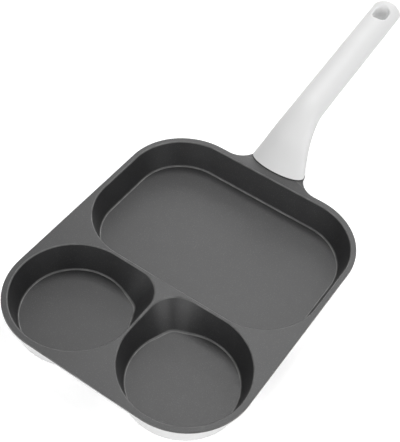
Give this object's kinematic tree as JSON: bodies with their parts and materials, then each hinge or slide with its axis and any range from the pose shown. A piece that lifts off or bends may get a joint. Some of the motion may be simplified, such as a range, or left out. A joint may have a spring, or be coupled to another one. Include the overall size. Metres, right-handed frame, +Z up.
{
  "type": "divided breakfast pan",
  "caption": "Cast frying pan divided into a large well and small round egg wells, with a bent moulded handle that ends in a hanging hole.",
  "frame": {"origin": "on the base plane, under the middle of the pan's outline without its handle", "axes": "+Z up out of the wells, +Y along the handle, +X to the right seen from the egg wells"},
  "size_m": [0.197, 0.423, 0.0926],
  "materials": {
    "coated_aluminium": "die-cast aluminium with a dark granular non-stick coat inside and on the deck, white coat outside",
    "plate_steel": "ferritic stainless sheet, brushed and pressed into the base",
    "seal_rubber": "black heat-resisting silicone, matt",
    "handle_phenolic": "moulded phenolic with a satin white coat",
    "fastener_steel": "zinc-plated steel"
  },
  "bodies": {
    "root": {"pan_body": "coated_aluminium", "base_plate_main": "plate_steel", "base_plate_left": "plate_steel", "base_plate_right": "plate_steel", "neck_seal": "seal_rubber", "handle": "handle_phenolic", "flat_washer": "fastener_steel", "lock_washer": "fastener_steel", "handle_screw": "fastener_steel"}
  },
  "joints": []
}
